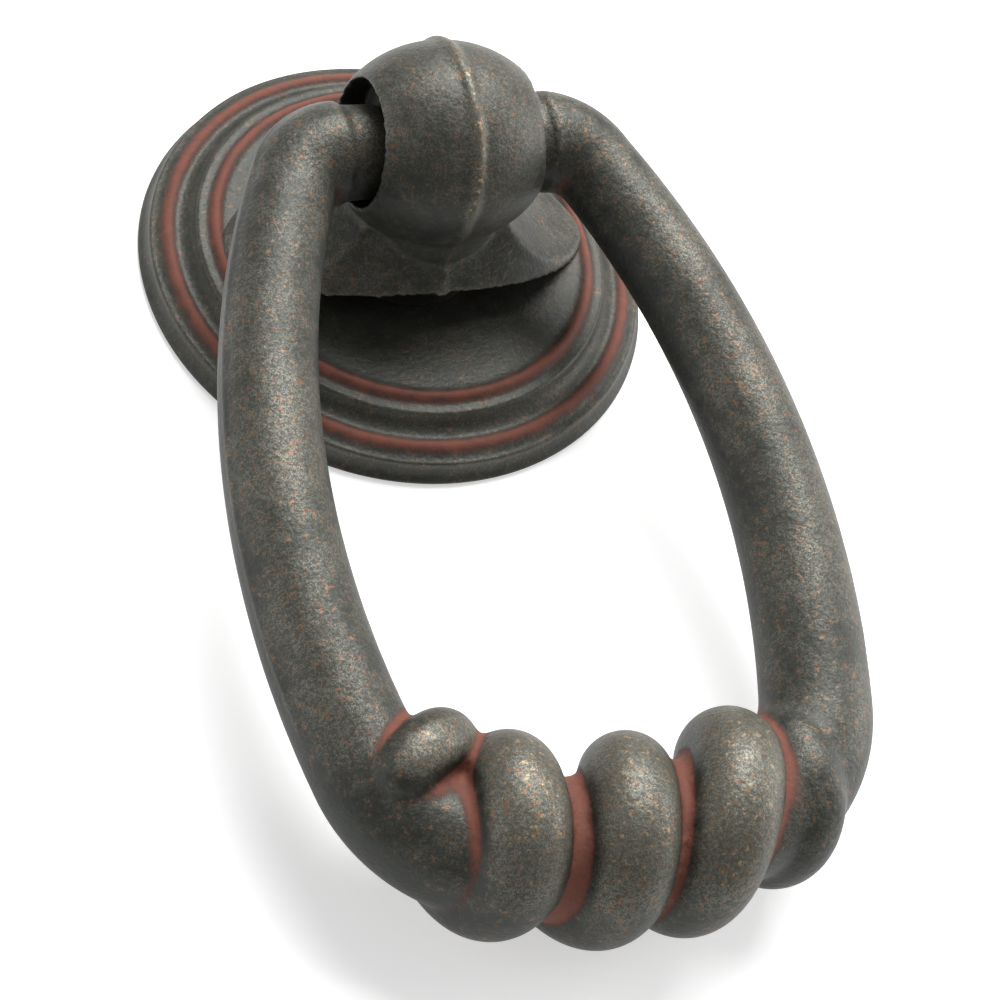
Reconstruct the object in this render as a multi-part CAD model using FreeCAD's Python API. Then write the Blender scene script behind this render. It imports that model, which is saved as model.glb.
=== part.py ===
import FreeCAD, Part
import math
import os
from FreeCAD import Matrix, Vector

# Ring pull handle in cast metal: a round stepped rosette, a ball-headed post that stands on it,
# and a ring with a twisted grip that swings in the post. Millimetres. The back of the rosette
# lies on z = 0 with its centre at the origin, the hinge runs along X, and the ring lies towards -Y.

# Rosette
ROSETTE_R = 19.0
BACK_EDGE = 0.35
RIM_CREST_R = 18.35
RIM_CREST_Z = 1.9
RIM_SIDE_BULGE = 0.25
RIM_TOP_BULGE = 0.09
RIM_STEP = 0.25
OUTER_GROOVE_R = 16.97
OUTER_GROOVE_Z = 1.95
INNER_GROOVE_R = 13.8
INNER_GROOVE_Z = 3.25
GROOVE_HALF_WIDTH = 0.5
GROOVE_DEPTH = 0.35
BAND_ROUND_R = 15.2
DISH_DEPTH = 0.65
DISH_HOLLOW = 0.26
SEAT_R = 6.2

# Post
HINGE_Z = 14.2
HEAD_HALF_LENGTH = 8.1
HEAD_R = 7.1
HEAD_RISE = 0.6
NECK_R = 5.9
NECK_Z = 9.6
FOOT_HALF_LENGTH = 12.6
FOOT_HALF_WIDTH = 7.3
FOOT_TIP_HALF_WIDTH = 0.7
FOOT_EDGE_Z = 6.7
FOOT_TIP_THICKNESS = 0.8
FOOT_TIP_GAP = 0.35
FOOT_DRAFT = 0.8
FOOT_OVERCUT = 1.5
FOOT_TOP_HOLLOW = 0.9
NECK_ROUND = 1.0
RIDGE_WIDTH = 0.7
RIDGE_HEIGHT = 0.22
STEM_R = 5.6
SPIGOT_R = 2.9
SPIGOT_PLAY = 1.2
SPIGOT_RECESS = 0.2
SCREW_HOLE_R = 1.65
SCREW_HOLE_DEPTH = 9.0
SOCKET_R = 4.4
SOCKET_FLOOR_X = 4.2

# Ring
TRUNNION_R = 3.3
TRUNNION_END_GAP = 0.35
TRUNNION_REST_GAP = 0.1
SHOULDER_START_X = 7.5
SHOULDER_R = 4.2
SHOULDER_TURN = 64.2
ARM_END_R = 3.7
ARM_TOP_R = 3.1
ARM_LOW_R = 3.75
GRIP_R = 3.85
RING_HALF_WIDTH = 17.45
RING_DROP = 51.0
CORNER_R = 9.0
BOTTOM_R = 74.0

# Twisted grip
STRAND_R = 3.1
STRAND_COIL_R = 3.75
STRAND_PITCH = 7.2
STRAND_START = -16.6
STRAND_START_ANGLE = 35.0
STRAND_START_STRETCH = 1.9
STRAND_START_R = 1.8
STRAND_START_COIL_R = 3.1
STRAND_RISE_TURNS = 1.0
STRAND_TURNS = 4.22
STRAND_TAPER_TURNS = 0.45
STRAND_TIP_R = 2.2
STRAND_SINK = 2.85
STRAND_LIFT = 1.0
STRAND_LIFT_CENTRE = 3.0
STRAND_LIFT_REACH = 12.0
STRAND_BEAD = 0.1
STRAND_BEAD_INSET = 0.3

# How finely the strand's path is laid out
STRAND_STATIONS_PER_TURN = 16


def line(a, b):
    return Part.LineSegment(a, b).toShape()


def arc(a, b, c):
    return Part.Arc(a, b, c).toShape()


def bulged(a, b, bulge):
    """Arc in the XZ plane from a to b whose middle stands off the chord by bulge, to its left."""
    chord = b - a
    left = Vector(-chord.z, 0, chord.x)
    left.normalize()
    return arc(a, (a + b) * 0.5 + left * bulge, b)


def revolved(edges):
    """Solid turned a full circle round the post's axis."""
    face = Part.Face(Part.Wire(edges))
    return face.revolve(Vector(0, 0, 0), Vector(0, 0, 1), 360)


def placed_circle(centre, across, up, radius):
    """Circle round centre in the plane of two unit vectors, its seam towards the first."""
    out = across.cross(up)
    turn = Matrix(across.x, up.x, out.x, centre.x,
                  across.y, up.y, out.y, centre.y,
                  across.z, up.z, out.z, centre.z,
                  0, 0, 0, 1)
    ring = Part.Wire(Part.makeCircle(radius))
    ring.Placement = FreeCAD.Placement(turn)
    return ring


# Rosette heights that other pieces seat on
BAND_TOP_Z = INNER_GROOVE_Z + GROOVE_DEPTH
SEAT_Z = BAND_TOP_Z + GROOVE_DEPTH / 2 - DISH_DEPTH


def rosette():
    """Plate with a rounded rim, two grooved steps and a shallow dish round the post."""
    hole = SPIGOT_R + SPIGOT_PLAY
    rim_low = Vector(ROSETTE_R, 0, BACK_EDGE)
    crest = Vector(RIM_CREST_R, 0, RIM_CREST_Z)
    outer_a = Vector(OUTER_GROOVE_R + GROOVE_HALF_WIDTH, 0, OUTER_GROOVE_Z + RIM_STEP)
    outer_mid = Vector(OUTER_GROOVE_R, 0, OUTER_GROOVE_Z)
    outer_b = Vector(OUTER_GROOVE_R - GROOVE_HALF_WIDTH, 0, OUTER_GROOVE_Z + GROOVE_DEPTH)
    band = Vector(BAND_ROUND_R, 0, BAND_TOP_Z)
    inner_a = Vector(INNER_GROOVE_R + GROOVE_HALF_WIDTH, 0, BAND_TOP_Z)
    inner_mid = Vector(INNER_GROOVE_R, 0, INNER_GROOVE_Z)
    inner_b = Vector(INNER_GROOVE_R - GROOVE_HALF_WIDTH, 0, BAND_TOP_Z + GROOVE_DEPTH / 2)
    seat = Vector(SEAT_R, 0, SEAT_Z)
    bore_top = Vector(hole, 0, SEAT_Z)
    bore_low = Vector(hole, 0, 0)
    back = Vector(ROSETTE_R - BACK_EDGE, 0, 0)
    edges = [
        line(back, rim_low),
        bulged(rim_low, crest, -RIM_SIDE_BULGE),
        bulged(crest, outer_a, -RIM_TOP_BULGE),
        arc(outer_a, outer_mid, outer_b),
        bulged(outer_b, band, -GROOVE_DEPTH),
        line(band, inner_a),
        arc(inner_a, inner_mid, inner_b),
        bulged(inner_b, seat, DISH_HOLLOW),
        line(seat, bore_top),
        line(bore_top, bore_low),
        line(bore_low, back),
    ]
    return revolved(edges)


def head(extra):
    """Egg-shaped head that lies along the hinge, with its neck, grown by extra for the ridge."""
    centre = Vector(0, 0, HINGE_Z + HEAD_RISE)
    length = HEAD_HALF_LENGTH + extra
    crown = centre + Vector(0, 0, HEAD_R + extra)
    end = centre + Vector(length, 0, 0)
    outline = Part.ArcOfEllipse(Part.Ellipse(end, crown, centre), 0, math.pi).toShape()
    face = Part.Face(Part.Wire([outline, line(centre - Vector(length, 0, 0), end)]))
    egg = face.revolve(centre, Vector(1, 0, 0), 360)
    neck = Part.makeCylinder(NECK_R + extra, centre.z - FOOT_EDGE_Z, Vector(0, 0, FOOT_EDGE_Z))
    return egg.fuse(neck)


def foot_plan(z, grow):
    """Leaf-shaped outline at height z, drawn in by the casting draft as it rises."""
    draft = FOOT_DRAFT * (FOOT_EDGE_Z - z) + grow
    tip_x = FOOT_HALF_LENGTH + draft * FOOT_HALF_WIDTH / FOOT_HALF_LENGTH
    tip_y = FOOT_TIP_HALF_WIDTH
    side_y = FOOT_HALF_WIDTH + draft
    edges = []
    for way in (1, -1):
        tip = Vector(way * tip_x, way * tip_y, z)
        middle = Vector(0, way * side_y, z)
        far_tip = Vector(-way * tip_x, way * tip_y, z)
        edges += [
            arc(tip, middle, far_tip),
            line(far_tip, Vector(-way * tip_x, -way * tip_y, z)),
        ]
    return Part.Wire(edges)


def foot_side(grow):
    """Front view of the arched foot as a slab along Y: hollowed top, arched underside."""
    tip_low = BAND_TOP_Z + FOOT_TIP_GAP
    sag = FOOT_EDGE_Z - tip_low
    under_r = (FOOT_HALF_LENGTH ** 2 + sag ** 2) / (2 * sag)
    end_x = FOOT_HALF_LENGTH + FOOT_OVERCUT
    under_z = FOOT_EDGE_Z - under_r + math.sqrt(under_r ** 2 - end_x ** 2)
    top_z = under_z + FOOT_TIP_THICKNESS + grow
    neck_x, neck_z = NECK_R - NECK_ROUND, NECK_Z + NECK_ROUND + grow
    right = bulged(Vector(neck_x, 0, neck_z), Vector(end_x, 0, top_z), -FOOT_TOP_HOLLOW)
    left = bulged(Vector(-end_x, 0, top_z), Vector(-neck_x, 0, neck_z), -FOOT_TOP_HOLLOW)
    under_left, under_right = Vector(-end_x, 0, under_z), Vector(end_x, 0, under_z)
    edges = [
        right,
        line(Vector(end_x, 0, top_z), under_right),
        arc(under_right, Vector(0, 0, FOOT_EDGE_Z), under_left),
        line(under_left, Vector(-end_x, 0, top_z)),
        left,
        line(Vector(-neck_x, 0, neck_z), Vector(neck_x, 0, neck_z)),
    ]
    reach = 2 * FOOT_HALF_WIDTH
    face = Part.Face(Part.Wire(edges))
    face.translate(Vector(0, -reach, 0))
    return face.extrude(Vector(0, 2 * reach, 0))


def foot(grow):
    """Leaf-shaped foot that arches over the dish and reaches down at its two ends."""
    top = NECK_Z + 2 * NECK_ROUND
    plan = Part.makeLoft([foot_plan(0.0, grow), foot_plan(top, grow)], True, True)
    return plan.common(foot_side(grow))


def parting_ridge():
    """Raised line that the mould's parting plane leaves round the head and down the foot."""
    thick = head(RIDGE_HEIGHT).fuse(foot(RIDGE_HEIGHT))
    size = 4 * HEAD_R
    slab = Part.makeBox(RIDGE_WIDTH, size, size, Vector(-RIDGE_WIDTH / 2, -size / 2, FOOT_EDGE_Z))
    return thick.common(slab)


def socket(side):
    """Blind round socket in one flank of the head; the trunnion lies in the bottom of it."""
    centre_z = HINGE_Z + SOCKET_R - TRUNNION_R - TRUNNION_REST_GAP
    start = Vector(side * SOCKET_FLOOR_X, 0, centre_z)
    return Part.makeCylinder(SOCKET_R, 2 * HEAD_R, start, Vector(side, 0, 0))


def post():
    """One casting: head with two sockets, neck, arched foot, stem and tapped spigot."""
    stem = Part.makeCylinder(STEM_R, FOOT_EDGE_Z + NECK_ROUND - SEAT_Z, Vector(0, 0, SEAT_Z))
    spigot = Part.makeCylinder(SPIGOT_R, SEAT_Z + NECK_ROUND - SPIGOT_RECESS, Vector(0, 0, SPIGOT_RECESS))
    body = head(0).fuse([foot(0), parting_ridge(), stem, spigot])
    body = body.cut([socket(1), socket(-1)])
    hole = Part.makeCylinder(SCREW_HOLE_R, SCREW_HOLE_DEPTH, Vector(0, 0, SPIGOT_RECESS))
    return body.cut(hole).removeSplitter()


def ring_arcs():
    """Half of the ring's centreline as tangent arcs: centre, radius, first and last heading.

    Headings run from 0 at the trunnion, pointing outwards, to 180 degrees at the bottom.
    Points are (x, drop), where drop is the distance below the hinge in the ring's plane.
    """
    turn = math.radians(SHOULDER_TURN)
    shoulder = (SHOULDER_START_X, SHOULDER_R)
    reach = SHOULDER_START_X + SHOULDER_R * math.sin(turn)
    arm_r = (RING_HALF_WIDTH - reach) / (1 - math.sin(turn))
    arm = (reach - arm_r * math.sin(turn),
           SHOULDER_R * (1 - math.cos(turn)) + arm_r * math.cos(turn))
    bottom = (0.0, RING_DROP - BOTTOM_R)
    to_arm = arm_r - CORNER_R
    to_bottom = BOTTOM_R - CORNER_R
    gap_x, gap_y = bottom[0] - arm[0], bottom[1] - arm[1]
    gap = math.hypot(gap_x, gap_y)
    along = (to_arm ** 2 - to_bottom ** 2 + gap ** 2) / (2 * gap)
    off = math.sqrt(to_arm ** 2 - along ** 2)
    corner = (arm[0] + (along * gap_x - off * gap_y) / gap,
              arm[1] + (along * gap_y + off * gap_x) / gap)
    if corner[0] < bottom[0]:
        corner = (arm[0] + (along * gap_x + off * gap_y) / gap,
                  arm[1] + (along * gap_y - off * gap_x) / gap)
    leave_arm = math.atan2(corner[0] - arm[0], arm[1] - corner[1])
    leave_corner = math.atan2(corner[0] - bottom[0], bottom[1] - corner[1])
    return [
        (shoulder, SHOULDER_R, 0.0, turn),
        (arm, arm_r, turn, leave_arm),
        (corner, CORNER_R, leave_arm, leave_corner),
        (bottom, BOTTOM_R, leave_corner, math.pi),
    ]


TRUNNION_END_X = SOCKET_FLOOR_X + TRUNNION_END_GAP
TRUNNION_LENGTH = SHOULDER_START_X - TRUNNION_END_X
ARCS = ring_arcs()
HALF_LENGTH = sum(radius * (last - first) for _, radius, first, last in ARCS)
REST_DIP = math.asin((HINGE_Z - STRAND_COIL_R - STRAND_R) / RING_DROP)


def ring_point(s):
    """Place and frame of the centreline at arc length s from the bottom, right side positive."""
    left = max(HALF_LENGTH - abs(s), 0.0)
    for centre, radius, first, last in ARCS:
        span = radius * (last - first)
        if left <= span or last == math.pi:
            break
        left -= span
    heading = min(first + left / radius, math.pi)
    x = centre[0] + radius * math.sin(heading)
    drop = centre[1] - radius * math.cos(heading)
    side = 1 if s >= 0 else -1
    place = in_ring(side * x, drop)
    outward = in_ring(side * math.sin(heading), -math.cos(heading)) - in_ring(0, 0)
    return place, outward


def in_ring(x, drop):
    """Point of the ring's plane, which dips from the hinge so that the grip rests on z = 0."""
    return Vector(x, -drop * math.cos(REST_DIP), HINGE_Z - drop * math.sin(REST_DIP))


RING_NORMAL = Vector(0, -math.sin(REST_DIP), math.cos(REST_DIP))


def trunnion(side):
    """Round pin at one end of the rod, on the hinge axis; it lies in the post's socket."""
    start = Vector(side * TRUNNION_END_X, 0, HINGE_Z)
    return Part.makeCylinder(TRUNNION_R, TRUNNION_LENGTH, start, Vector(side, 0, 0))


def rod_stretch(first, last, first_r, last_r):
    """Rod along one arc of the centreline, running evenly from one radius to the other."""
    ends = [ring_point(first), ring_point(last)]
    middle = ring_point((first + last) / 2)[0]
    shell = Part.BRepOffsetAPI.MakePipeShell(Part.Wire(arc(ends[0][0], middle, ends[1][0])))
    shell.setFrenetMode(False)
    shell.add(placed_circle(*ends[0], RING_NORMAL, first_r))
    if first_r != last_r:
        shell.add(placed_circle(*ends[1], RING_NORMAL, last_r))
    shell.build()
    shell.makeSolid()
    return shell.shape()


def rod():
    """The rod from left to right, one stretch for each arc of its centreline."""
    far = HALF_LENGTH
    ends = [(-far, ARM_END_R)]
    for (_, radius, first, last), end_r in zip(ARCS, (ARM_TOP_R, ARM_LOW_R, GRIP_R, GRIP_R)):
        far = max(far - radius * (last - first), 0.0)
        ends.append((-far, end_r))
    ends += [(-s, end_r) for s, end_r in reversed(ends[:-1])]
    return [rod_stretch(a, b, a_r, b_r) for (a, a_r), (b, b_r) in zip(ends, ends[1:])]


def strand_point(turns):
    """Centre of the wound strand after so many turns.

    The coil grows from a slim start and sinks into the rod as it runs out. Towards both ends its
    axis leaves the rod's for the inside of the ring, as a strand does that is laid round a bend.
    """
    s = STRAND_START + STRAND_PITCH * turns - STRAND_START_STRETCH * max(1 - turns, 0.0) ** 2
    angle = math.radians(STRAND_START_ANGLE) + 2 * math.pi * turns
    place, outward = ring_point(s)
    grown = min(turns / STRAND_RISE_TURNS, 1.0)
    left = max(min((STRAND_TURNS - turns) / STRAND_TAPER_TURNS, 1.0), 0.0)
    rising = STRAND_START_COIL_R + (STRAND_COIL_R - STRAND_START_COIL_R) * grown
    coil = min(rising, STRAND_COIL_R - STRAND_SINK * (1 - left) ** 2)
    lift = STRAND_LIFT * ((s - STRAND_LIFT_CENTRE) / STRAND_LIFT_REACH) ** 2
    off_rod = outward * (coil * math.cos(angle) - lift)
    return place + off_rod + RING_NORMAL * (coil * math.sin(angle))


def strand_piece(path, first, last, first_r, last_r):
    """Round bar along a stretch of the helix, running evenly from one radius to the other."""
    shell = Part.BRepOffsetAPI.MakePipeShell(Part.Wire(path.toShape(first, last)))
    shell.setFrenetMode(False)
    shell.add(Part.Wire(Part.makeCircle(first_r, path.value(first), path.tangent(first)[0])))
    if first_r != last_r:
        shell.add(Part.Wire(Part.makeCircle(last_r, path.value(last), path.tangent(last)[0])))
    shell.build()
    shell.makeSolid()
    return shell.shape()


def strand():
    """The wound strand in stretches under a turn long: blunt at its start, run out at its end."""
    even = STRAND_TURNS - STRAND_TAPER_TURNS - STRAND_RISE_TURNS
    stretches = math.ceil(even)
    marks = [(0.0, STRAND_START_R)]
    marks += [(STRAND_RISE_TURNS + even * index / stretches, STRAND_R) for index in range(stretches + 1)]
    marks.append((STRAND_TURNS, STRAND_TIP_R))
    stations, cuts = [], [0]
    for (first, _), (last, _) in zip(marks, marks[1:]):
        steps = math.ceil((last - first) * STRAND_STATIONS_PER_TURN)
        stations += [first + (last - first) * index / steps for index in range(steps)]
        cuts.append(len(stations))
    stations.append(STRAND_TURNS)
    points = [strand_point(turns) for turns in stations]
    path = Part.BSplineCurve()
    path.interpolate(points)
    knots = [path.parameter(points[index]) for index in cuts]
    pieces = [strand_piece(path, knots[index], knots[index + 1], marks[index][1], marks[index + 1][1])
              for index in range(len(marks) - 1)]
    bead_centre = points[0] + path.tangent(knots[0])[0] * STRAND_BEAD_INSET
    pieces.append(Part.makeSphere(STRAND_START_R + STRAND_BEAD, bead_centre))
    return pieces


def ring():
    """One casting: rod, trunnions and the wound strand of the grip."""
    pieces = rod() + [trunnion(1), trunnion(-1)] + strand()
    body = pieces[0]
    for piece in pieces[1:]:
        body = body.fuse(piece)
    return body


def main():
    os.makedirs("parts", exist_ok=True)
    for name, build in (("rosette", rosette), ("post", post), ("ring", ring)):
        shape = build()
        print(name, shape.ShapeType, "solids", len(shape.Solids), "valid", shape.isValid(),
              "volume", round(shape.Volume, 1))
        if len(shape.Solids) == 1:
            shape = shape.Solids[0]
        shape.exportStep(os.path.join("parts", name + ".step"))


main()
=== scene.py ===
import bpy
import bmesh
import math
import numpy as np
from functools import partial
from mathutils import Euler, Matrix, Vector, noise


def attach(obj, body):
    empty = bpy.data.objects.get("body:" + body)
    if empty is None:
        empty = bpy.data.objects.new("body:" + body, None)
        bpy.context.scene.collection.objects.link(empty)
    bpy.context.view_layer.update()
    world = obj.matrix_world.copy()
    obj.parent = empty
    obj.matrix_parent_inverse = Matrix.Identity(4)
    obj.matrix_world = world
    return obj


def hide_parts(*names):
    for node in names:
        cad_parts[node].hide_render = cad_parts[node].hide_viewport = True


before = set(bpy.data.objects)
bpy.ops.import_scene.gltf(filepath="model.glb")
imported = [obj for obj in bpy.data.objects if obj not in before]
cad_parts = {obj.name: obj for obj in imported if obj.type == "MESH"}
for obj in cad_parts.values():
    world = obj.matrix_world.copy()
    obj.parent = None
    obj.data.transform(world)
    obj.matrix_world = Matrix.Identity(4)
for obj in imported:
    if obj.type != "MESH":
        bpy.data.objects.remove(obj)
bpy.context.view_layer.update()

# Table sweep, soft boxes and camera.
# The pull lies on its back on a white opal sheet that glows a little from below.
# A soft box overhead draws the long highlight down the arms; a card on each side fills the shade.
MM = 0.001
CAMERA_PLACE_MM = Vector((-69.566, -113.934, 154.802))
CAMERA_RIGHT = Vector((0.9238376, -0.2817191, 0.2591494))
CAMERA_UP = Vector((0.0996364, 0.8306528, 0.5478034))
CAMERA_LENS_MM = 99.27
CAMERA_SENSOR_MM = 36.0
CAMERA_NEAR = 0.01
SHEET_HALF_SIDE = 1.5
SHEET_COLOUR = (0.74, 0.74, 0.74, 1)
SHEET_ROUGHNESS = 0.9
SHEET_GLOW = 0.5
WHITE = (1, 1, 1, 1)
STUDIO_LIGHT = 0.27
LIT_POINT = Vector((0, -0.02, 0.01))
SOFT_BOXES = {
    "overhead": {"place": (0.14, 0.22, 0.40), "sides": (0.40, 0.28), "watts": 4.1},
    "right_card": {"place": (0.45, -0.04, 0.14), "sides": (0.22, 0.34), "watts": 1.1},
    "left_card": {"place": (-0.45, 0.08, 0.16), "sides": (0.16, 0.30), "watts": 0.4},
}


def set_down(name, data):
    """New object of the given name, in the scene and unturned."""
    thing = bpy.data.objects.new(name, data)
    bpy.context.scene.collection.objects.link(thing)
    return thing


camera_data = bpy.data.cameras.new("camera")
camera_data.lens = CAMERA_LENS_MM
camera_data.sensor_width = CAMERA_SENSOR_MM
camera_data.clip_start = CAMERA_NEAR
camera = set_down("camera", camera_data)
camera_turn = Matrix((CAMERA_RIGHT, CAMERA_UP, CAMERA_RIGHT.cross(CAMERA_UP))).transposed()
camera.matrix_world = Matrix.Translation(CAMERA_PLACE_MM * MM) @ camera_turn.to_4x4()
bpy.context.scene.camera = camera

sheet_corners = [(x * SHEET_HALF_SIDE, y * SHEET_HALF_SIDE, 0)
                 for x, y in ((-1, -1), (1, -1), (1, 1), (-1, 1))]
sweep_mesh = bpy.data.meshes.new("sweep")
sweep_mesh.from_pydata(sheet_corners, [], [(0, 1, 2, 3)])
opal = bpy.data.materials.new("opal_sheet")
opal.use_nodes = True
opal_shader = opal.node_tree.nodes["Principled BSDF"]
opal_shader.inputs["Base Color"].default_value = SHEET_COLOUR
opal_shader.inputs["Roughness"].default_value = SHEET_ROUGHNESS
opal_shader.inputs["Emission Color"].default_value = WHITE
opal_shader.inputs["Emission Strength"].default_value = SHEET_GLOW
sweep_mesh.materials.append(opal)
sweep = set_down("sweep", sweep_mesh)

for box_name, box in SOFT_BOXES.items():
    box_data = bpy.data.lights.new(box_name, "AREA")
    box_data.shape = "RECTANGLE"
    box_data.size, box_data.size_y = box["sides"]
    box_data.energy = box["watts"]
    soft_box = set_down(box_name, box_data)
    soft_box.location = box["place"]
    soft_box.rotation_euler = (LIT_POINT - Vector(box["place"])).to_track_quat("-Z", "Y").to_euler()

studio = bpy.data.worlds.new("studio")
studio.use_nodes = True
studio.node_tree.nodes["Background"].inputs["Color"].default_value = WHITE
studio.node_tree.nodes["Background"].inputs["Strength"].default_value = STUDIO_LIGHT
bpy.context.scene.world = studio
bpy.context.scene.view_settings.view_transform = "Standard"

# Rosette: the round backplate, one brass casting with a rolled rim, two steps and a dish.
# Dipped dark, wiped back on the crests and left brick red in the two grooves.
# It is turned here from its own section, seen edge-on as (radius, height).
ROSETTE_R = 19.0
BACK_EDGE = 0.35
RIM_CREST = (18.35, 1.9)
RIM_BULGE = 0.25
RIM_FALL_BULGE = 0.09
RIM_STEP = 0.25
OUTER_GROOVE_R = 16.97
OUTER_GROOVE_Z = 1.95
OUTER_GROOVE_SINK = 0.28
INNER_GROOVE_R = 13.8
INNER_GROOVE_SINK = 0.42
GROOVE_HALF_WIDTH = 0.5
GROOVE_DEPTH = 0.35
BAND_ROUND_R = 15.2
BAND_TOP_Z = 3.6
BAND_BULGE = 0.35
BAND_TOP_BULGE = 0.02
DISH_RIM_Z = 3.775
DISH_SINK = 0.26
SEAT = (6.2, 3.125)
SPIGOT_HOLE_R = 4.1
FLAT = 0
ROSETTE_SIDES = 288
ROSETTE_EASING = 2
CASTING_WAVE = 5.0
CASTING_UNEVENNESS = 0.07
GROOVE_WAX_OUT = 0.1
GROOVE_WAX_REACH = 0.62
GROOVE_WAX_FROM_Z = 1.0
ROSETTE_WEAR = 0.30
CREST_WEAR = 0.15
RIM_WEAR_REACH = 0.35
RIM_WEAR_FROM_Z = 1.4
BAND_WEAR_SHARE = 0.6
BAND_WEAR_R = 15.3
BAND_WEAR_REACH = 0.7


def bow(start, end, bulge, steps):
    """Points of a shallow arc from start up to but without end, standing off the chord by bulge."""
    (x0, z0), (x1, z1) = start, end
    chord = math.hypot(x1 - x0, z1 - z0)
    nx, nz = -(z1 - z0) / chord, (x1 - x0) / chord
    points = []
    for index in range(steps):
        share = index / steps
        off = 4 * bulge * share * (1 - share)
        points.append((x0 + (x1 - x0) * share + nx * off, z0 + (z1 - z0) * share + nz * off))
    return points


def rosette_section():
    """Closed outline, out along the back and in over the top: each bow's start, bulge and steps."""
    bows = [
        ((SPIGOT_HOLE_R, 0), FLAT, 12),
        ((ROSETTE_R - BACK_EDGE, 0), FLAT, 3),
        ((ROSETTE_R, BACK_EDGE), RIM_BULGE, 12),
        (RIM_CREST, RIM_FALL_BULGE, 8),
        ((OUTER_GROOVE_R + GROOVE_HALF_WIDTH, OUTER_GROOVE_Z + RIM_STEP), -OUTER_GROOVE_SINK, 10),
        ((OUTER_GROOVE_R - GROOVE_HALF_WIDTH, OUTER_GROOVE_Z + GROOVE_DEPTH), BAND_BULGE, 14),
        ((BAND_ROUND_R, BAND_TOP_Z), BAND_TOP_BULGE, 5),
        ((INNER_GROOVE_R + GROOVE_HALF_WIDTH, BAND_TOP_Z), -INNER_GROOVE_SINK, 10),
        ((INNER_GROOVE_R - GROOVE_HALF_WIDTH, DISH_RIM_Z), -DISH_SINK, 22),
        (SEAT, FLAT, 4),
        ((SPIGOT_HOLE_R, SEAT[1]), FLAT, 8),
    ]
    points = []
    for (start, bulge, steps), (end, _, _) in zip(bows, bows[1:] + bows[:1]):
        points += bow(start, end, bulge, steps)
    return points


def eased(points, rounds):
    """Closed section with its corners softened, as a casting's are."""
    outline = np.array(points)
    for _ in range(rounds):
        outline = 0.5 * outline + 0.25 * (np.roll(outline, 1, 0) + np.roll(outline, -1, 0))
    return outline


def smoothstep(edges, value):
    low, high = edges
    share = np.clip((value - low) / (high - low), 0, 1)
    return share * share * (3 - 2 * share)


def swell(off, reach):
    """One at no distance off, fading to nothing past reach."""
    return np.exp(-(off / reach) ** 2)


def uneven(points_mm, wave, height):
    """Small offsets that make a casting's surface slightly uneven, in millimetres."""
    return np.array([noise.noise(Vector(p) / wave) for p in points_mm]) * height


def write_attribute(mesh, name, values):
    attribute = mesh.attributes.new(name, "FLOAT", "POINT")
    attribute.data.foreach_set("value", np.ascontiguousarray(values, dtype=np.float32))


section = eased(rosette_section(), ROSETTE_EASING)
angles = np.linspace(0, 2 * math.pi, ROSETTE_SIDES, endpoint=False)
radii, heights = section[:, 0], section[:, 1]
cast = np.stack([np.outer(radii, np.cos(angles)), np.outer(radii, np.sin(angles)),
                 np.repeat(heights[:, None], ROSETTE_SIDES, 1)], 2).reshape(-1, 3)
cast[:, 2] += np.where(cast[:, 2] > BACK_EDGE, uneven(cast, CASTING_WAVE, CASTING_UNEVENNESS), 0)
rosette_faces = []
for row in range(len(section)):
    below = (row + 1) % len(section)
    for column in range(ROSETTE_SIDES):
        beside = (column + 1) % ROSETTE_SIDES
        rosette_faces.append((row * ROSETTE_SIDES + column, row * ROSETTE_SIDES + beside,
                              below * ROSETTE_SIDES + beside, below * ROSETTE_SIDES + column))
rosette_mesh = bpy.data.meshes.new("rosette_plate")
rosette_mesh.from_pydata((cast * MM).tolist(), [], rosette_faces)
rosette_mesh.shade_smooth()
reach = np.hypot(cast[:, 0], cast[:, 1])
groove_wax = np.maximum(swell(reach - OUTER_GROOVE_R - GROOVE_WAX_OUT, GROOVE_WAX_REACH),
                        swell(reach - INNER_GROOVE_R - GROOVE_WAX_OUT, GROOVE_WAX_REACH))
write_attribute(rosette_mesh, "hollow", groove_wax * (cast[:, 2] > GROOVE_WAX_FROM_Z))
rim_wear = swell(reach - RIM_CREST[0], RIM_WEAR_REACH) * (cast[:, 2] > RIM_WEAR_FROM_Z)
band_wear = BAND_WEAR_SHARE * swell(reach - BAND_WEAR_R, BAND_WEAR_REACH)
write_attribute(rosette_mesh, "wear_and_top_light", ROSETTE_WEAR + CREST_WEAR * np.maximum(rim_wear, band_wear))

# Patina of all three castings. A grain is its scale, detail, roughness and shift along GRAIN_WAY,
# and two numbers together are where a layer starts to show and where it covers.
GRAIN_WAY = (1.0, 1.7, 0.6)
GRAIN_MIDDLE = 0.5
CLOUDS = (140, 3, 0.6, 0.3)
MOTTLE = (800, 4, 0.7, 0.7)
PORES = (2900, 2, 0.55, 1.9)
SPECKS = (3300, 3, 0.7, 5.3)
COPPERS = (2300, 4, 0.75, 3.1)
DENTS = (420, 2, 0.5, 7.7)
FILINGS = (2300, 4, 0.75, 9.4)
CLOUD_DRIFT = 1.7
MOTTLE_DRIFT = 1.4
WAX_DRIFT = 0.9
OILED_BODY = (0.022, 0.025, 0.021, 1)
# The lighter body tone below shows both wear and the painted highlight on faces turned up.
WORN_AND_LIT_BODY = (0.080, 0.075, 0.058, 1)
BODY_WEAR_AND_LIGHT = (0.0, 1.0)
PALE_FLECK = (0.200, 0.205, 0.180, 1)
PALE_WEAR_AND_LIGHT = (0.10, 0.75)
CURL_LEVEL = 0.52
CURL_WIDTH = (0.035, 0.012)
COPPER_FLECK = (0.21, 0.115, 0.066, 1)
COPPER_GRAIN = (0.57, 0.63)
COPPER_WEAR_AND_LIGHT = (0.0, 0.5)
RUBBED_BRASS = (0.42, 0.30, 0.17, 1)
RUB_GRAIN = (0.56, 0.66)
RUB_WEAR_AND_LIGHT = (0.55, 1.25)
THIN_WAX = (0.080, 0.026, 0.018, 1)
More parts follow.
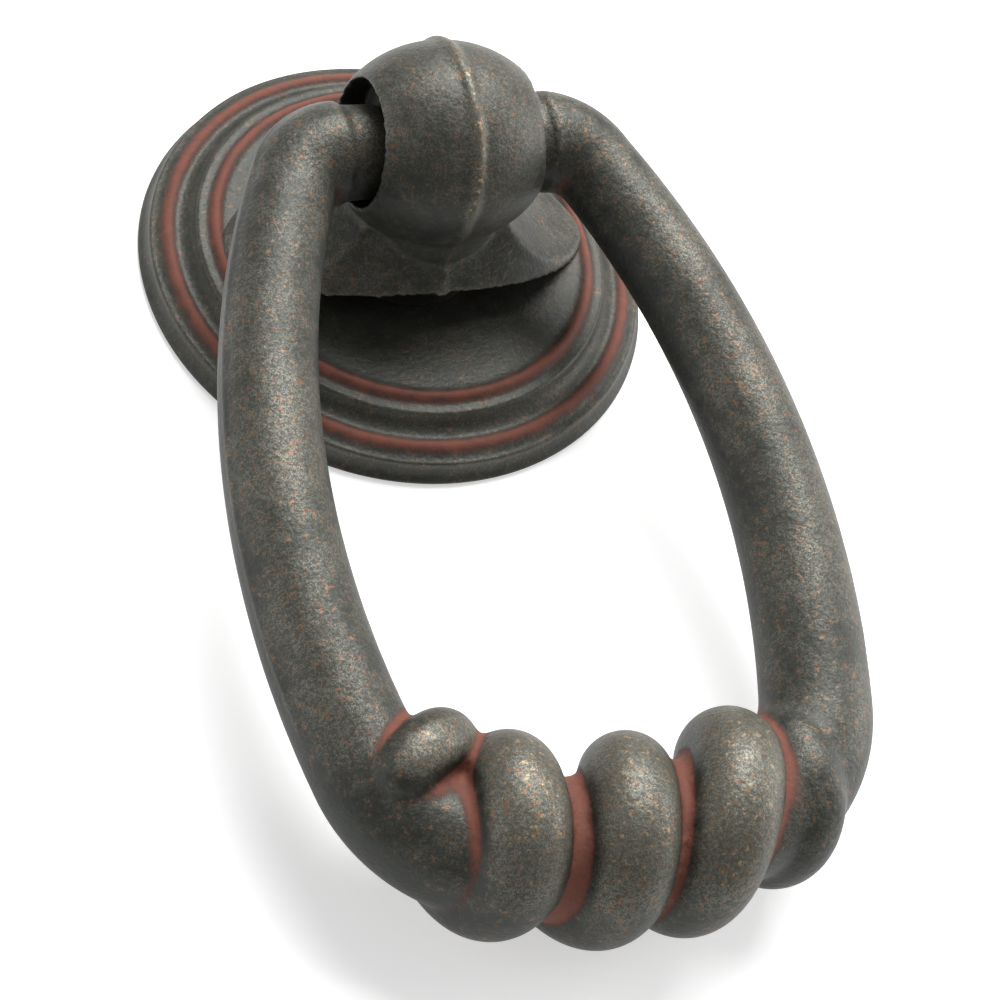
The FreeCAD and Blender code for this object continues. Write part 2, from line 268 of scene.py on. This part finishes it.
THICK_WAX = (0.185, 0.060, 0.038, 1)
WAX_COVER = (0.2, 0.95)
WAX_BUILD = (0.45, 1.25)
OILED_METALLIC = 0.30
BARE_METALLIC = 0.45
OILED_SPECULAR = 0.4
OILED_ROUGHNESS = 0.38
MOTTLE_ROUGHNESS = 0.24
WAX_ROUGHNESS = 0.3
PORE_DEPTH = 0.6
DENT_DEPTH = 0.35
RELIEF_STRENGTH = 0.7
RELIEF_DEPTH = 0.00012


def put(tree, value, socket):
    """Link another node's value to the socket, or write a plain value into it."""
    if isinstance(value, bpy.types.NodeSocket):
        tree.links.new(value, socket)
    else:
        socket.default_value = value


def reckon(tree, operation, *values):
    node = tree.nodes.new("ShaderNodeMath")
    node.operation = operation
    for value, socket in zip(values, node.inputs):
        put(tree, value, socket)
    return node.outputs[0]


def oiled_bronze(name, mottling, fleck_gain, rub_gain, wax_gain):
    """Dark oiled patina over brass: mottled and flecked, lighter where rubbed and where a highlight is
    painted on faces turned up, and waxed in "hollow".
    """
    metal = bpy.data.materials.new(name)
    metal.use_nodes = True
    tree = metal.node_tree
    shader = tree.nodes["Principled BSDF"]
    place = tree.nodes.new("ShaderNodeTexCoord").outputs["Object"]
    plus, less, times, larger = (partial(reckon, tree, operation)
                                 for operation in ("ADD", "SUBTRACT", "MULTIPLY", "MAXIMUM"))

    def grain(scale, detail, roughness, shift):
        mapping = tree.nodes.new("ShaderNodeMapping")
        mapping.inputs["Location"].default_value = [shift * way for way in GRAIN_WAY]
        put(tree, place, mapping.inputs["Vector"])
        field = tree.nodes.new("ShaderNodeTexNoise")
        field.inputs["Scale"].default_value = scale
        field.inputs["Detail"].default_value = detail
        field.inputs["Roughness"].default_value = roughness
        put(tree, mapping.outputs["Vector"], field.inputs["Vector"])
        return field.outputs["Fac"]

    def drifting(field, amount):
        return times(less(field, GRAIN_MIDDLE), amount)

    def between(value, edges, top=1.0):
        node = tree.nodes.new("ShaderNodeMapRange")
        node.interpolation_type = "SMOOTHSTEP"
        node.inputs["From Min"].default_value, node.inputs["From Max"].default_value = edges
        node.inputs["To Max"].default_value = top
        put(tree, value, node.inputs["Value"])
        return node.outputs["Result"]

    def laid_over(under, colour, share):
        node = tree.nodes.new("ShaderNodeMix")
        node.data_type = "RGBA"
        put(tree, share, node.inputs["Factor"])
        put(tree, under, node.inputs["A"])
        put(tree, colour, node.inputs["B"])
        return node.outputs["Result"]

    def surface_value(attribute_name):
        node = tree.nodes.new("ShaderNodeAttribute")
        node.attribute_name = attribute_name
        return node.outputs["Fac"]

    mottle = grain(*MOTTLE)
    drift = plus(drifting(grain(*CLOUDS), CLOUD_DRIFT * mottling),
                 drifting(mottle, MOTTLE_DRIFT * mottling))
    # This value is real wear and, on the post and ring, also a painted highlight on faces turned up; it
    # lightens the body and brings out the flecks and rubbed brass.
    wear_and_light = plus(surface_value("wear_and_top_light"), drift)
    body = laid_over(OILED_BODY, WORN_AND_LIT_BODY, between(wear_and_light, BODY_WEAR_AND_LIGHT))
    off_curl = reckon(tree, "ABSOLUTE", less(grain(*SPECKS), CURL_LEVEL))
    pale = times(between(off_curl, CURL_WIDTH), between(wear_and_light, PALE_WEAR_AND_LIGHT, fleck_gain))
    copper = times(between(grain(*COPPERS), COPPER_GRAIN), between(wear_and_light, COPPER_WEAR_AND_LIGHT, fleck_gain))
    rub = times(between(grain(*FILINGS), RUB_GRAIN), between(wear_and_light, RUB_WEAR_AND_LIGHT, rub_gain))
    flecked = laid_over(laid_over(body, PALE_FLECK, pale), COPPER_FLECK, copper)
    rubbed = laid_over(flecked, RUBBED_BRASS, rub)
    build = plus(surface_value("hollow"), drifting(mottle, WAX_DRIFT))
    wash = between(build, WAX_COVER, wax_gain)
    wax = laid_over(THIN_WAX, THICK_WAX, between(build, WAX_BUILD))
    put(tree, laid_over(rubbed, wax, wash), shader.inputs["Base Color"])
    bare = larger(pale, larger(copper, rub))
    metallic = times(plus(OILED_METALLIC, times(bare, BARE_METALLIC)), less(1.0, wash))
    put(tree, metallic, shader.inputs["Metallic"])
    shader.inputs["Specular IOR Level"].default_value = OILED_SPECULAR
    roughness = plus(plus(OILED_ROUGHNESS, times(mottle, MOTTLE_ROUGHNESS)), times(wash, WAX_ROUGHNESS))
    put(tree, roughness, shader.inputs["Roughness"])
    relief = tree.nodes.new("ShaderNodeBump")
    relief.inputs["Strength"].default_value = RELIEF_STRENGTH
    relief.inputs["Distance"].default_value = RELIEF_DEPTH
    put(tree, plus(times(grain(*PORES), PORE_DEPTH), times(grain(*DENTS), DENT_DEPTH)),
        relief.inputs["Height"])
    put(tree, relief.outputs["Normal"], shader.inputs["Normal"])
    return metal


rosette_mesh.materials.append(oiled_bronze("rosette_patina", mottling=0.35, fleck_gain=0.45,
                                           rub_gain=0.25, wax_gain=0.95))
rosette = set_down("rosette_plate", rosette_mesh)
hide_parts("rosette")
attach(rosette, "mount")

# Post: ball-headed casting with a socket in each flank, a parting ridge and a leaf-shaped foot.
# Sand-cast in two halves, fettled by hand and dipped with the rest; its ridge is rubbed bright.
# Its solid is taken over, its corners are rounded off and its ridge is raised a little more.
WELD_REACH_MM = 0.002
POST_VOXEL_MM = 0.165
POST_SOFTENING = 24
POST_BLUR = 160
SKIN_TURN = (0.61, 0.47, 0.38)
RIDGE_RISE = 0.06
RIDGE_REACH = 0.32
RIDGE_FROM_Z = (6.9, 7.6)
RIDGE_WAVE = 1.2
RIDGE_WANDER = 0.12
RIDGE_RUB_REACH = 0.4
RIDGE_RUB_Z = (12.0, 17.0)
POST_SUNK = (0.10, 0.45)
POST_WAX = 0.8
POST_PROUD = (0.05, 0.30)
POST_UPWARD = (-0.1, 0.9)
POST_WEAR = 0.15
POST_TOP_PAINTED_HIGHLIGHT = 0.3
POST_EDGE_WEAR = 0.35
RIDGE_WEAR = 0.9


def plain_mesh(holder):
    """The holder's shape as its modifiers leave it; the holder itself is taken away."""
    bpy.context.view_layer.update()
    graph = bpy.context.evaluated_depsgraph_get()
    mesh = bpy.data.meshes.new_from_object(holder.evaluated_get(graph))
    bpy.data.objects.remove(holder)
    return mesh


def smooth(holder, passes):
    wear = holder.modifiers.new("wear", "SMOOTH")
    wear.factor = 0.5
    wear.iterations = passes


def softened(mesh, voxel, passes):
    """Closed mesh in millimetres laid out again in an even skin, with its corners rounded off."""
    askew = Euler(SKIN_TURN).to_matrix().to_4x4()
    mesh.transform(askew)
    holder = set_down("skin", mesh)
    skin = holder.modifiers.new("skin", "REMESH")
    skin.mode = "VOXEL"
    skin.voxel_size = voxel
    skin.use_smooth_shade = True
    smooth(holder, passes)
    worn_mesh = plain_mesh(holder)
    bpy.data.meshes.remove(mesh)
    worn_mesh.transform(askew.inverted())
    return worn_mesh


def places(mesh):
    co = np.zeros(len(mesh.vertices) * 3, np.float32)
    mesh.vertices.foreach_get("co", co)
    return co.reshape(-1, 3).astype(float)


def outward(mesh):
    normals = np.zeros(len(mesh.vertices) * 3, np.float32)
    mesh.vertices.foreach_get("normal", normals)
    return normals.reshape(-1, 3).astype(float)


def bulge_of(mesh, passes):
    """How far each point stands proud of (above 0) or sunk in (below 0) its surroundings."""
    holder = set_down("blurred", mesh)
    smooth(holder, passes)
    return ((places(mesh) - places(plain_mesh(holder))) * outward(mesh)).sum(1)


post_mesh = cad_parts["post"].data.copy()
post_mesh.materials.clear()
welded = bmesh.new()
welded.from_mesh(post_mesh)
bmesh.ops.remove_doubles(welded, verts=welded.verts, dist=WELD_REACH_MM * MM)
welded.to_mesh(post_mesh)
welded.free()
post_mesh.transform(Matrix.Scale(1 / MM, 4))
post_mesh = softened(post_mesh, POST_VOXEL_MM, POST_SOFTENING)
proud = bulge_of(post_mesh, POST_BLUR)
skin = places(post_mesh)
facing = outward(post_mesh)
height = skin[:, 2].copy()
off_ridge = skin[:, 0] + uneven(skin, RIDGE_WAVE, RIDGE_WANDER)
ridge_rise = RIDGE_RISE * swell(off_ridge, RIDGE_REACH) * smoothstep(RIDGE_FROM_Z, height)
skin += facing * ridge_rise[:, None]
post_mesh.vertices.foreach_set("co", skin.astype(np.float32).ravel())
write_attribute(post_mesh, "hollow", POST_WAX * smoothstep(POST_SUNK, -proud))
ridge_rub = swell(off_ridge, RIDGE_RUB_REACH) * smoothstep(RIDGE_RUB_Z, height)
# Faces turned up are made lighter as a painted highlight of the light from above; the lighter edges and
# ridge are real wear.
write_attribute(post_mesh, "wear_and_top_light", POST_WEAR + POST_TOP_PAINTED_HIGHLIGHT * smoothstep(POST_UPWARD, facing[:, 2])
                + POST_EDGE_WEAR * smoothstep(POST_PROUD, proud) + RIDGE_WEAR * ridge_rub)
post_mesh.transform(Matrix.Scale(MM, 4))
post_mesh.materials.append(oiled_bronze("post_patina", mottling=0.6, fleck_gain=0.7,
                                        rub_gain=0.9, wax_gain=0.8))
post_mesh.name = "post_casting"
post = set_down("post_casting", post_mesh)
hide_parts("post")
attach(post, "mount")

# Ring: a rod bent to a pear shape, with a trunnion at each end and one fat strand wound
# left-handed round its bottom. Cast in one, dipped, rubbed on the coils, red between them.
# The rod and the strand follow the ring's centreline; together they are skinned as one casting.
HINGE_Z = 14.2
TRUNNION_END_X = 4.55
TRUNNION_R = 3.3
TRUNNION_STEP_WIDTH = 0.02
SHOULDER_START_X = 7.5
SHOULDER_R = 4.2
SHOULDER_TURN = math.radians(64.2)
RING_HALF_WIDTH = 17.45
RING_DROP = 51.0
CORNER_R = 9.0
BOTTOM_R = 74.0
ARM_END_R = 3.7
ARM_TOP_R = 3.1
ARM_LOW_R = 3.75
GRIP_R = 4.4
PATH_STEP = 0.4
ROD_SIDES = 64
STRAND_R = 3.1
STRAND_COIL_R = 3.75
STRAND_PITCH = 7.2
STRAND_TURNS = 4.3
STRAND_START = -16.35
STRAND_START_ANGLE = math.radians(45.0)
STRAND_START_R = 1.95
STRAND_START_COIL_R = 3.4
STRAND_RISE_TURNS = 1.0
LOBE_BACK = 0.12
LOBE_TURNS = 0.8
RUN_OUT_TURNS = 0.8
RUN_OUT_SINK = 2.85
TIP_R = 2.2
LIFT = 1.0
LIFT_CENTRE = 3.0
LIFT_REACH = 12.0
MOST_LIFT = 1.3
LEAN = 0.19
MOST_LEAN = 1.1
STRAND_STATIONS = 900
STRAND_SIDES = 40
RING_VOXEL_MM = 0.24
RING_SOFTENING = 14
RING_BLUR = 220
SEAM_ANGLE = 0.3
SEAM_RISE = 0.09
SEAM_REACH = 0.28
SEAM_ABOVE_GRIP = (20.0, 24.0)
GRIP_LEFT = (-19.5, -18.0)
GRIP_RIGHT = (15.5, 17.5)
RING_SUNK = (-0.06, 0.22)
UNDERSIDE_HANDLING = 0.75
ARM_UPWARD = (-0.2, 0.9)
ARM_WEAR = 0.06
ARM_TOP_WEAR_AND_HIGHLIGHT = 0.42
ARM_SHADE_ON_GRIP = 0.3
COIL_HEIGHT = (4.3, 5.8)
COIL_UPWARD = (0.05, 0.95)
COIL_WEAR = 0.15
COIL_TOP_WEAR_AND_HIGHLIGHT = 0.95
POINTS_AT_ONCE = 4000
REST_DIP = math.asin((HINGE_Z - STRAND_COIL_R - STRAND_R) / RING_DROP)
RING_NORMAL = Vector((0, -math.sin(REST_DIP), math.cos(REST_DIP)))


def ring_arcs():
    """Half of the centreline as tangent arcs: centre, radius, first and last heading."""
    reach = SHOULDER_START_X + SHOULDER_R * math.sin(SHOULDER_TURN)
    arm_r = (RING_HALF_WIDTH - reach) / (1 - math.sin(SHOULDER_TURN))
    arm = (reach - arm_r * math.sin(SHOULDER_TURN),
           SHOULDER_R * (1 - math.cos(SHOULDER_TURN)) + arm_r * math.cos(SHOULDER_TURN))
    low = (0.0, RING_DROP - BOTTOM_R)
    to_arm, to_low = arm_r - CORNER_R, BOTTOM_R - CORNER_R
    gap_x, gap_y = low[0] - arm[0], low[1] - arm[1]
    gap = math.hypot(gap_x, gap_y)
    along = (to_arm ** 2 - to_low ** 2 + gap ** 2) / (2 * gap)
    off = math.sqrt(to_arm ** 2 - along ** 2)
    corner = max((arm[0] + (along * gap_x - way * off * gap_y) / gap,
                  arm[1] + (along * gap_y + way * off * gap_x) / gap) for way in (1, -1))
    leave_arm = math.atan2(corner[0] - arm[0], arm[1] - corner[1])
    leave_corner = math.atan2(corner[0] - low[0], low[1] - corner[1])
    return [((SHOULDER_START_X, SHOULDER_R), SHOULDER_R, 0.0, SHOULDER_TURN),
            (arm, arm_r, SHOULDER_TURN, leave_arm),
            (corner, CORNER_R, leave_arm, leave_corner),
            (low, BOTTOM_R, leave_corner, math.pi)]


def in_ring(x, drop):
    """Place in the ring's own plane, drop being measured from the hinge."""
    return Vector((x, -drop * math.cos(REST_DIP), HINGE_Z - drop * math.sin(REST_DIP)))


half_path = [in_ring(TRUNNION_END_X, 0), in_ring(SHOULDER_START_X - TRUNNION_STEP_WIDTH, 0)]
half_radii = [TRUNNION_R, TRUNNION_R]
radius_from = ARM_END_R
radii_to = (ARM_TOP_R, ARM_LOW_R, GRIP_R, GRIP_R)
for ((centre_x, centre_drop), radius, first, last), radius_to in zip(ring_arcs(), radii_to):
    steps = max(2, round(radius * (last - first) / PATH_STEP))
    for index in range(steps):
        heading = first + (last - first) * index / steps
        half_path.append(in_ring(centre_x + radius * math.sin(heading),
                                 centre_drop - radius * math.cos(heading)))
        half_radii.append(radius_from + (radius_to - radius_from) * index / steps)
    radius_from = radius_to
path = [Vector((-p.x, p.y, p.z)) for p in half_path] + [in_ring(0, RING_DROP)] + half_path[::-1]
path_radii = half_radii + [GRIP_R] + half_radii[::-1]
path_lengths = np.concatenate([[0], np.cumsum([(b - a).length for a, b in zip(path, path[1:])])])
path_middle = path_lengths[len(half_path)]

path_mesh = bpy.data.meshes.new("ring_path")
path_mesh.from_pydata(path, [(i, i + 1) for i in range(len(path) - 1)], [])
write_attribute(path_mesh, "rod_radius", path_radii)
ring_holder = set_down("ring_path", path_mesh)
ring_patina = oiled_bronze("ring_patina", mottling=0.6, fleck_gain=0.9, rub_gain=0.8, wax_gain=0.95)

WINDING_SIZES = {
    "Turns": STRAND_TURNS,
    "Pitch": STRAND_PITCH,
    "Start": path_middle + STRAND_START,
    "Start Angle": STRAND_START_ANGLE,
    "Lobe Back": LOBE_BACK,
    "Lobe Turns": LOBE_TURNS,
    "Start Radius": STRAND_START_R,
    "Start Coil Radius": STRAND_START_COIL_R,
    "Rise Turns": STRAND_RISE_TURNS,
    "Strand Radius": STRAND_R,
    "Coil Radius": STRAND_COIL_R,
    "Run-out Turns": RUN_OUT_TURNS,
    "Run-out Sink": RUN_OUT_SINK,
    "Tip Radius": TIP_R,
    "Lift": LIFT,
    "Lift Centre": path_middle + LIFT_CENTRE,
    "Lift Reach": LIFT_REACH,
    "Most Lift": MOST_LIFT,
    "Middle": path_middle,
    "Lean": LEAN,
    "Most Lean": MOST_LEAN,
}
winding = bpy.data.node_groups.new("wound_ring", "GeometryNodeTree")
winding.interface.new_socket("Geometry", in_out="INPUT", socket_type="NodeSocketGeometry")
for size_name in WINDING_SIZES:
    winding.interface.new_socket(size_name, in_out="INPUT", socket_type="NodeSocketFloat")
winding.interface.new_socket("Ring Normal", in_out="INPUT", socket_type="NodeSocketVector")
winding.interface.new_socket("Material", in_out="INPUT", socket_type="NodeSocketMaterial")
winding.interface.new_socket("Geometry", in_out="OUTPUT", socket_type="NodeSocketGeometry")

link = partial(put, winding)
plus, less, times, over, smaller, larger, power = (
    partial(reckon, winding, operation)
    for operation in ("ADD", "SUBTRACT", "MULTIPLY", "DIVIDE", "MINIMUM", "MAXIMUM", "POWER"))
sine, cosine, root = (partial(reckon, winding, operation) for operation in ("SINE", "COSINE", "SQRT"))


def add_node(kind, **settings):
    node = winding.nodes.new(kind)
    for key, value in settings.items():
        setattr(node, key, value)
    return node


def vectors(operation, a, b):
    node = add_node("ShaderNodeVectorMath", operation=operation)
    link(a, node.inputs[0])
    link(b, node.inputs["Scale"] if operation == "SCALE" else node.inputs[1])
    return node.outputs[0]


def named(attribute_name):
    node = add_node("GeometryNodeInputNamedAttribute", data_type="FLOAT")
    node.inputs["Name"].default_value = attribute_name
    return node.outputs["Attribute"]


def round_bar(curve, radius, sides):
    """Bar with closed ends that follows the curve."""
    profile = add_node("GeometryNodeCurvePrimitiveCircle")
    profile.inputs["Resolution"].default_value = sides
    profile.inputs["Radius"].default_value = 1.0
    bar = add_node("GeometryNodeCurveToMesh")
    link(curve, bar.inputs["Curve"])
    link(profile.outputs["Curve"], bar.inputs["Profile Curve"])
    link(radius, bar.inputs["Scale"])
    bar.inputs["Fill Caps"].default_value = True
    return bar.outputs["Mesh"]


def blend(low, high, share):
    return plus(low, times(share, less(high, low)))


given = add_node("NodeGroupInput").outputs
centreline = add_node("GeometryNodeMeshToCurve")
link(given["Geometry"], centreline.inputs["Mesh"])
rod = round_bar(centreline.outputs["Curve"], named("rod_radius"), ROD_SIDES)

stations = add_node("GeometryNodeCurvePrimitiveLine")
laid = add_node("GeometryNodeResampleCurve", mode="COUNT")
link(stations.outputs["Curve"], laid.inputs["Curve"])
laid.inputs["Count"].default_value = STRAND_STATIONS
counted = add_node("GeometryNodeStoreNamedAttribute", data_type="FLOAT", domain="POINT")
link(laid.outputs["Curve"], counted.inputs["Geometry"])
counted.inputs["Name"].default_value = "turns"
link(times(add_node("GeometryNodeSplineParameter").outputs["Factor"], given["Turns"]),
     counted.inputs["Value"])
turns = named("turns")
angle = plus(given["Start Angle"], times(turns, 2 * math.pi))

past_lobe = add_node("ShaderNodeMapRange", interpolation_type="SMOOTHSTEP")
link(turns, past_lobe.inputs["Value"])
link(given["Lobe Turns"], past_lobe.inputs["From Max"])
pitches_on = blend(times(given["Lobe Back"], -1.0), turns, past_lobe.outputs["Result"])
place_along = plus(given["Start"], times(given["Pitch"], pitches_on))
lean = smaller(times(given["Lean"], less(given["Middle"], place_along)), given["Most Lean"])
lean = larger(lean, times(given["Most Lean"], -1.0))
place_along = plus(place_along, times(lean, cosine(angle)))
on_rod = add_node("GeometryNodeSampleCurve", mode="LENGTH", use_all_curves=True)
link(centreline.outputs["Curve"], on_rod.inputs["Curves"])
link(place_along, on_rod.inputs["Length"])

grown = smaller(over(turns, given["Rise Turns"]), 1.0)
left = larger(smaller(over(less(given["Turns"], turns), given["Run-out Turns"]), 1.0), 0.0)
run_out = times(given["Run-out Sink"], power(less(1.0, left), 2.0))
coil = smaller(blend(given["Start Coil Radius"], given["Coil Radius"], grown),
               less(given["Coil Radius"], run_out))
from_centre = over(less(place_along, given["Lift Centre"]), given["Lift Reach"])
lift = smaller(times(given["Lift"], times(from_centre, from_centre)), given["Most Lift"])
outward_way = vectors("CROSS_PRODUCT", on_rod.outputs["Tangent"], given["Ring Normal"])
off_rod = vectors("ADD", vectors("SCALE", outward_way, less(times(coil, cosine(angle)), lift)),
                  vectors("SCALE", given["Ring Normal"], times(coil, sine(angle))))
coiled = add_node("GeometryNodeSetPosition")
link(counted.outputs["Geometry"], coiled.inputs["Geometry"])
link(vectors("ADD", on_rod.outputs["Position"], off_rod), coiled.inputs["Position"])

bar_r = smaller(blend(given["Start Radius"], given["Strand Radius"], grown),
                blend(given["Tip Radius"], given["Strand Radius"], left))
wound_off = times(turns, times(given["Start Coil Radius"], 2 * math.pi))
short = less(1.0, smaller(over(wound_off, given["Start Radius"]), 1.0))
blunt = root(larger(less(1.0, times(short, short)), 0.0))
strand = round_bar(coiled.outputs["Geometry"], times(bar_r, blunt), STRAND_SIDES)

both = add_node("GeometryNodeJoinGeometry")
link(rod, both.inputs[0])
link(strand, both.inputs[0])
realised = add_node("GeometryNodeRealizeInstances")
link(both.outputs[0], realised.inputs["Geometry"])
patinated = add_node("GeometryNodeSetMaterial")
link(realised.outputs["Geometry"], patinated.inputs["Geometry"])
link(given["Material"], patinated.inputs["Material"])
link(patinated.outputs["Geometry"], add_node("NodeGroupOutput").inputs["Geometry"])

wind = ring_holder.modifiers.new("winding", "NODES")
wind.node_group = winding
for socket in winding.interface.items_tree:
    if socket.in_out == "INPUT" and socket.name in WINDING_SIZES:
        wind[socket.identifier] = float(WINDING_SIZES[socket.name])
    elif socket.name == "Ring Normal":
        wind[socket.identifier] = tuple(RING_NORMAL)
    elif socket.name == "Material":
        wind[socket.identifier] = ring_patina
ring_mesh = softened(plain_mesh(ring_holder), RING_VOXEL_MM, RING_SOFTENING)

skin = places(ring_mesh)
facing = outward(ring_mesh)
spots = np.array(path)
ahead = np.gradient(spots, axis=0)
aside = np.cross(ahead / np.linalg.norm(ahead, axis=1)[:, None], np.array(RING_NORMAL))
off_centreline, along_grip, round_rod = (np.zeros(len(skin)) for _ in range(3))
for start in range(0, len(skin), POINTS_AT_ONCE):
    batch = slice(start, start + POINTS_AT_ONCE)
    nearest = np.linalg.norm(skin[batch, None, :] - spots[None], axis=2).argmin(1)
    away = skin[batch] - spots[nearest]
    off_centreline[batch] = np.linalg.norm(away, axis=1)
    along_grip[batch] = path_lengths[nearest] - path_middle
    round_rod[batch] = np.arctan2(away @ np.array(RING_NORMAL), (away * aside[nearest]).sum(1))
proud = bulge_of(ring_mesh, RING_BLUR)
on_grip = smoothstep(GRIP_LEFT, along_grip) * (1 - smoothstep(GRIP_RIGHT, along_grip))
seam = swell((round_rod - SEAM_ANGLE) * off_centreline, SEAM_REACH)
seam *= smoothstep(SEAM_ABOVE_GRIP, np.abs(along_grip))
skin += facing * (SEAM_RISE * seam)[:, None]
ring_mesh.vertices.foreach_set("co", skin.astype(np.float32).ravel())
write_attribute(ring_mesh, "hollow", smoothstep(RING_SUNK, -proud))
# Faces turned up get lighter: partly handling wear, which the undersides share in part, and partly a
# painted highlight of the light from above; coil crests are real rubbing.
handled_and_lit = np.maximum(facing[:, 2], UNDERSIDE_HANDLING * np.abs(facing[:, 2]))
arm_wear_and_light = ARM_WEAR + ARM_TOP_WEAR_AND_HIGHLIGHT * smoothstep(ARM_UPWARD, handled_and_lit)
coil_wear_and_light = COIL_WEAR + COIL_TOP_WEAR_AND_HIGHLIGHT * smoothstep(COIL_UPWARD, handled_and_lit)
coil_wear_and_light *= smoothstep(COIL_HEIGHT, off_centreline)
write_attribute(ring_mesh, "wear_and_top_light", np.maximum((1 - ARM_SHADE_ON_GRIP * on_grip) * arm_wear_and_light,
                                               on_grip * coil_wear_and_light))
ring_mesh.transform(Matrix.Scale(MM, 4))
ring_mesh.materials.clear()
ring_mesh.materials.append(ring_patina)
ring_mesh.name = "ring_casting"
ring = set_down("ring_casting", ring_mesh)
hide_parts("ring")
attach(ring, "ring")
